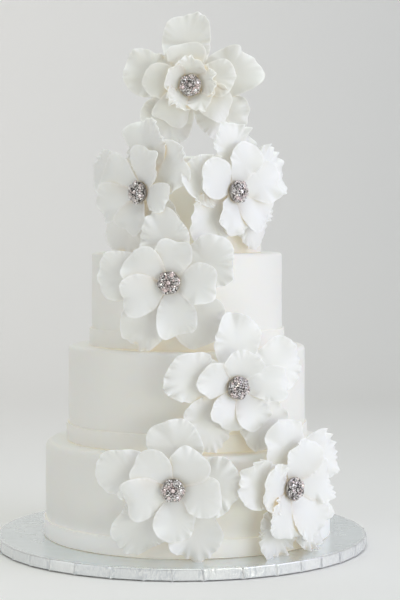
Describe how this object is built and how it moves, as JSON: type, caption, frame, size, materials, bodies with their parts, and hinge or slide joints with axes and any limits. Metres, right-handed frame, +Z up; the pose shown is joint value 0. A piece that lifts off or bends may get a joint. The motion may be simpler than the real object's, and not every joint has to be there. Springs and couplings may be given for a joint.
{
  "type": "tiered wedding cake",
  "caption": "Round tiered wedding cake in smooth white icing on a foil-covered drum, with large ruffled sugar-paste flowers with jewelled centres running down its front.",
  "frame": {"origin": "middle of the drum's underside", "axes": "+Z up; the cascade of flowers faces -Y, and +X is to the right as seen from the front"},
  "size_m": [0.4064, 0.4064, 0.5799],
  "materials": {
    "rolled_icing": "rolled white icing, smooth and satin, faintly uneven",
    "sugar_paste": "thin white sugar paste, satin, slightly translucent at the edges",
    "silver_foil": "embossed silver foil over board, creased and folded round the rim",
    "brooch_silver": "bright silver settings, dark in the gaps between the stones",
    "crystal": "faceted foil-backed glass stones, clear to faintly pink",
    "floral_tape": "white florist's tape wound round a wire"
  },
  "bodies": {
    "root": {"cake_drum": "silver_foil", "tier_1": "rolled_icing", "band_1": "rolled_icing", "tier_2": "rolled_icing", "band_2": "rolled_icing", "tier_3": "rolled_icing", "band_3": "rolled_icing", "tier_4": "rolled_icing", "band_4": "rolled_icing", "front_base_outer_petals": "sugar_paste", "front_base_inner_petals": "sugar_paste", "front_base_brooch": "brooch_silver", "right_base_outer_petals": "sugar_paste", "right_base_inner_petals": "sugar_paste", "right_base_brooch": "brooch_silver", "second_tier_outer_petals": "sugar_paste", "second_tier_inner_petals": "sugar_paste", "second_tier_brooch": "brooch_silver", "third_tier_outer_petals": "sugar_paste", "third_tier_inner_petals": "sugar_paste", "third_tier_brooch": "brooch_silver", "upper_left_outer_petals": "sugar_paste", "upper_left_inner_petals": "sugar_paste", "upper_left_brooch": "brooch_silver", "upper_right_outer_petals": "sugar_paste", "upper_right_inner_petals": "sugar_paste", "upper_right_brooch": "brooch_silver", "crown_outer_petals": "sugar_paste", "crown_inner_petals": "sugar_paste", "crown_heart_petals": "sugar_paste", "crown_brooch": "brooch_silver", "crown_stem": "floral_tape"}
  },
  "joints": []
}
